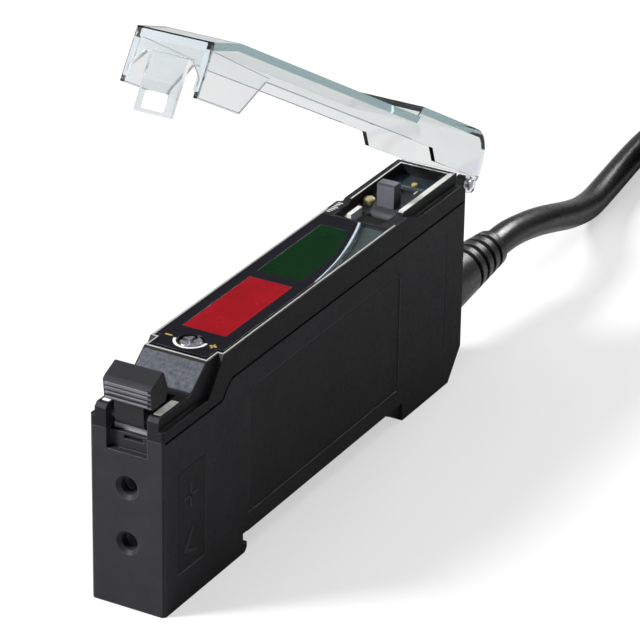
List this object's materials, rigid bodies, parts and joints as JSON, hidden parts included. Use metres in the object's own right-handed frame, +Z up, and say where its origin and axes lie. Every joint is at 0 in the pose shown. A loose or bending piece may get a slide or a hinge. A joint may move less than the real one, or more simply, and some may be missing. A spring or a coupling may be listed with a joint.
{
  "type": "fibre optic amplifier",
  "caption": "Slim rail-mount fibre optic amplifier with a fibre lock lever, red and green read-outs and small controls under a clear hinged lid, and a rear cable.",
  "frame": {"origin": "middle of the rail seat, on the face that rests on the rail", "axes": "+Z up from the feet, +Y from the fibre holes to the cable, +X to the right seen from the fibre holes"},
  "size_m": [0.0415, 0.256, 0.0678],
  "materials": {
    "housing_plastic": "fine moulded texture",
    "cover_plastic": "fine moulded texture",
    "gloss_black": "polished",
    "red_filter": "polished",
    "green_filter": "polished",
    "display_plastic": "moulded",
    "plated_metal": "nickel plated",
    "trimmer_plastic": "moulded",
    "lever_plastic": "moulded",
    "switch_plastic": "moulded",
    "white_plastic": "moulded",
    "amber_lens": "clear amber",
    "steel": "ground",
    "clamp_plastic": "moulded",
    "guide_plastic": "moulded",
    "red_emitter": "clear red",
    "receiver_dark": "dark filter resin",
    "tinned_sheet": "tinned",
    "circuit_board": "solder resist",
    "chip_black": "moulded",
    "can_aluminium": "drawn can",
    "capacitor_ceramic": "sintered",
    "connector_plastic": "moulded",
    "clear_plastic": "clear moulded",
    "relief_rubber": "moulded",
    "core_insulation": "extruded",
    "cable_sheath": "extruded",
    "tie_plastic": "moulded"
  },
  "bodies": {
    "housing": {"base_housing": "housing_plastic", "top_cover": "cover_plastic", "window_plate": "gloss_black", "red_window": "red_filter", "green_window": "green_filter", "red_display": "display_plastic", "green_display": "display_plastic", "trimmer_body": "trimmer_plastic", "jog_switch": "switch_plastic", "selector_switch": "switch_plastic", "output_led": "amber_lens", "power_led": "amber_lens", "lever_pin": "steel", "fibre_guide": "guide_plastic", "emitter_led": "red_emitter", "photodiode": "receiver_dark", "shield_can": "tinned_sheet", "main_board": "circuit_board", "display_board": "circuit_board", "processor_chip": "chip_black", "receiver_chip": "chip_black", "output_transistor": "chip_black", "supply_capacitor": "can_aluminium", "chip_capacitors": "capacitor_ceramic", "board_connector": "connector_plastic", "lid_pin": "steel", "strain_relief": "relief_rubber", "inner_leads": "core_insulation", "cable": "cable_sheath", "cable_coil": "cable_sheath", "cable_tie": "tie_plastic", "wire_ends": "core_insulation"},
    "lid": {"clear_lid": "clear_plastic"},
    "lever": {"lock_lever": "lever_plastic"},
    "clamp": {"fibre_clamp": "clamp_plastic"},
    "jog": {"jog_lever": "lever_plastic"},
    "trimmer": {"trimmer_rotor": "plated_metal"},
    "selector": {"selector_knob": "white_plastic"}
  },
  "joints": [
    {"name": "lid_hinge", "type": "hinge", "parent": "housing", "child": "lid", "pos_m": [0, 0.0397, 0.0237], "axis": [1, 0, 0], "range_deg": [-70, 29.5]},
    {"name": "lever_hinge", "type": "hinge", "parent": "housing", "child": "lever", "pos_m": [0, -0.03355, 0.0216], "axis": [1, 0, 0], "range_deg": [-20, 0]},
    {"name": "clamp_slide", "type": "slide", "parent": "housing", "child": "clamp", "axis": [0, 0, 1], "range_m": [-0.00026, 0]},
    {"name": "jog_tilt", "type": "hinge", "parent": "housing", "child": "jog", "pos_m": [0.0011, 0.0247, 0.0237], "axis": [1, 0, 0], "range_deg": [-12, 12], "stiffness_Nm_per_rad": 0.001},
    {"name": "trimmer_turn", "type": "hinge", "parent": "housing", "child": "trimmer", "pos_m": [0, -0.0212, 0.0252], "axis": [0, 0, 1], "range_deg": [-135, 135]},
    {"name": "selector_slide", "type": "slide", "parent": "housing", "child": "selector", "axis": [0, 1, 0], "range_m": [0, 0.0009]}
  ],
  "couplings": [
    {"joint": "lever_hinge", "follows": "clamp_slide", "rad_per_m": 1342}
  ]
}
